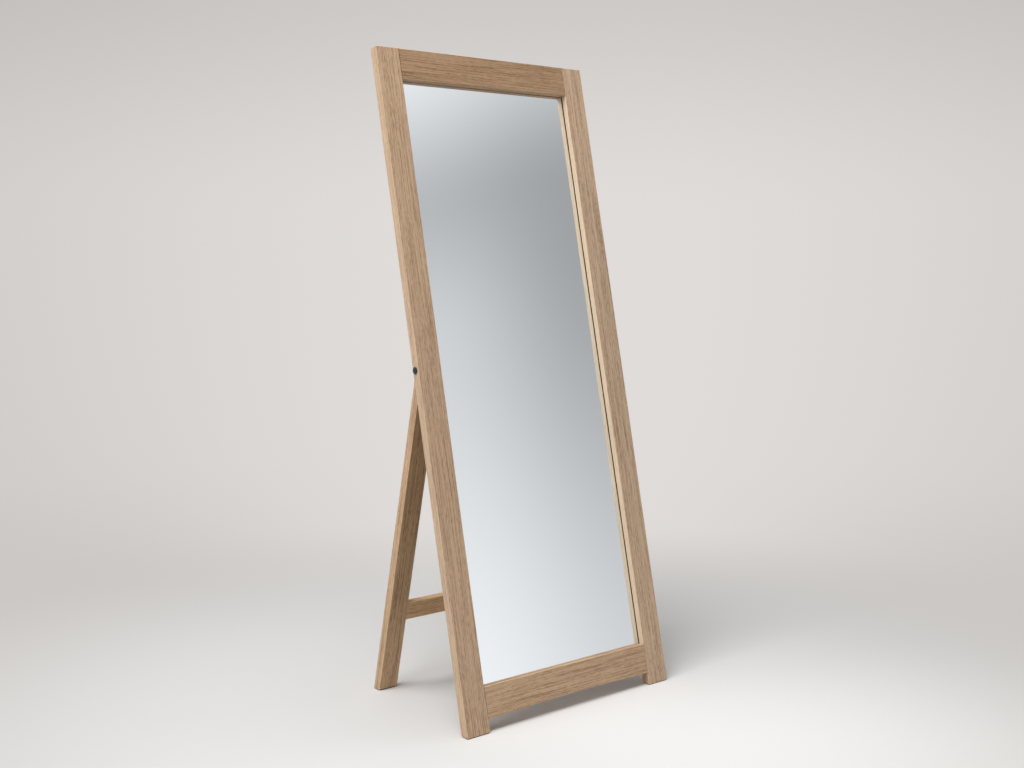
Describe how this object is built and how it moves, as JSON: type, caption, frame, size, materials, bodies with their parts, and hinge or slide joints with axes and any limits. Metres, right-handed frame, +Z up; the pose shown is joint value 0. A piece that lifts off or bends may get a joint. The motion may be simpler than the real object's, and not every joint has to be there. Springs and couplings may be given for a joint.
{
  "type": "floor mirror",
  "caption": "Tall rectangular mirror in a plain oak frame that leans back on a hinged two-legged rear stand, which folds flat against the frame.",
  "frame": {"origin": "centre of the footprint, on the floor, between the frame's front feet and the stand's rear feet", "axes": "+Z up; +Y from the mirror's face towards the stand behind it; +X to the right of someone who stands in front of the mirror and faces it"},
  "size_m": [0.6072, 0.3948, 1.4668],
  "materials": {
    "oak_stile": "matt oiled oak, straight grain up the stile",
    "oak_rail": "matt oiled oak, grain along the rail",
    "oak_leg": "matt oiled oak, straight grain down the leg",
    "oak_stretcher": "matt oiled oak, grain along the stretcher",
    "beech": "plain planed beech",
    "mirror": "silvered glass",
    "backing": "smooth brown hardboard",
    "foam": "black closed-cell foam",
    "black_steel": "satin black",
    "zinc_steel": "bright zinc",
    "nylon": "natural nylon",
    "foot_felt": "dark felt"
  },
  "bodies": {
    "frame": {"stile_left": "oak_stile", "stile_right": "oak_stile", "top_rail": "oak_rail", "bottom_rail": "oak_rail", "frame_tenons": "beech", "mirror_glass": "mirror", "glazing_strips": "foam", "back_board": "backing", "board_points": "zinc_steel", "pivot_bolt_left": "black_steel", "pivot_bolt_right": "black_steel", "barrel_nut_left": "zinc_steel", "barrel_nut_right": "zinc_steel", "foot_pad_front_left": "foot_felt", "foot_pad_front_right": "foot_felt"},
    "stand": {"leg_left": "oak_leg", "leg_right": "oak_leg", "stretcher": "oak_stretcher", "stretcher_tenons": "beech", "pivot_bracket_left": "black_steel", "pivot_bracket_right": "black_steel", "bracket_screws": "zinc_steel", "pivot_bush_left": "nylon", "pivot_bush_right": "nylon", "foot_pad_rear_left": "foot_felt", "foot_pad_rear_right": "foot_felt"}
  },
  "joints": [
    {"name": "stand_fold", "type": "hinge", "parent": "frame", "child": "stand", "pos_m": [0, -0.01609, 0.7659], "axis": [-1, 0, 0], "range_deg": [0, 25.75]}
  ]
}
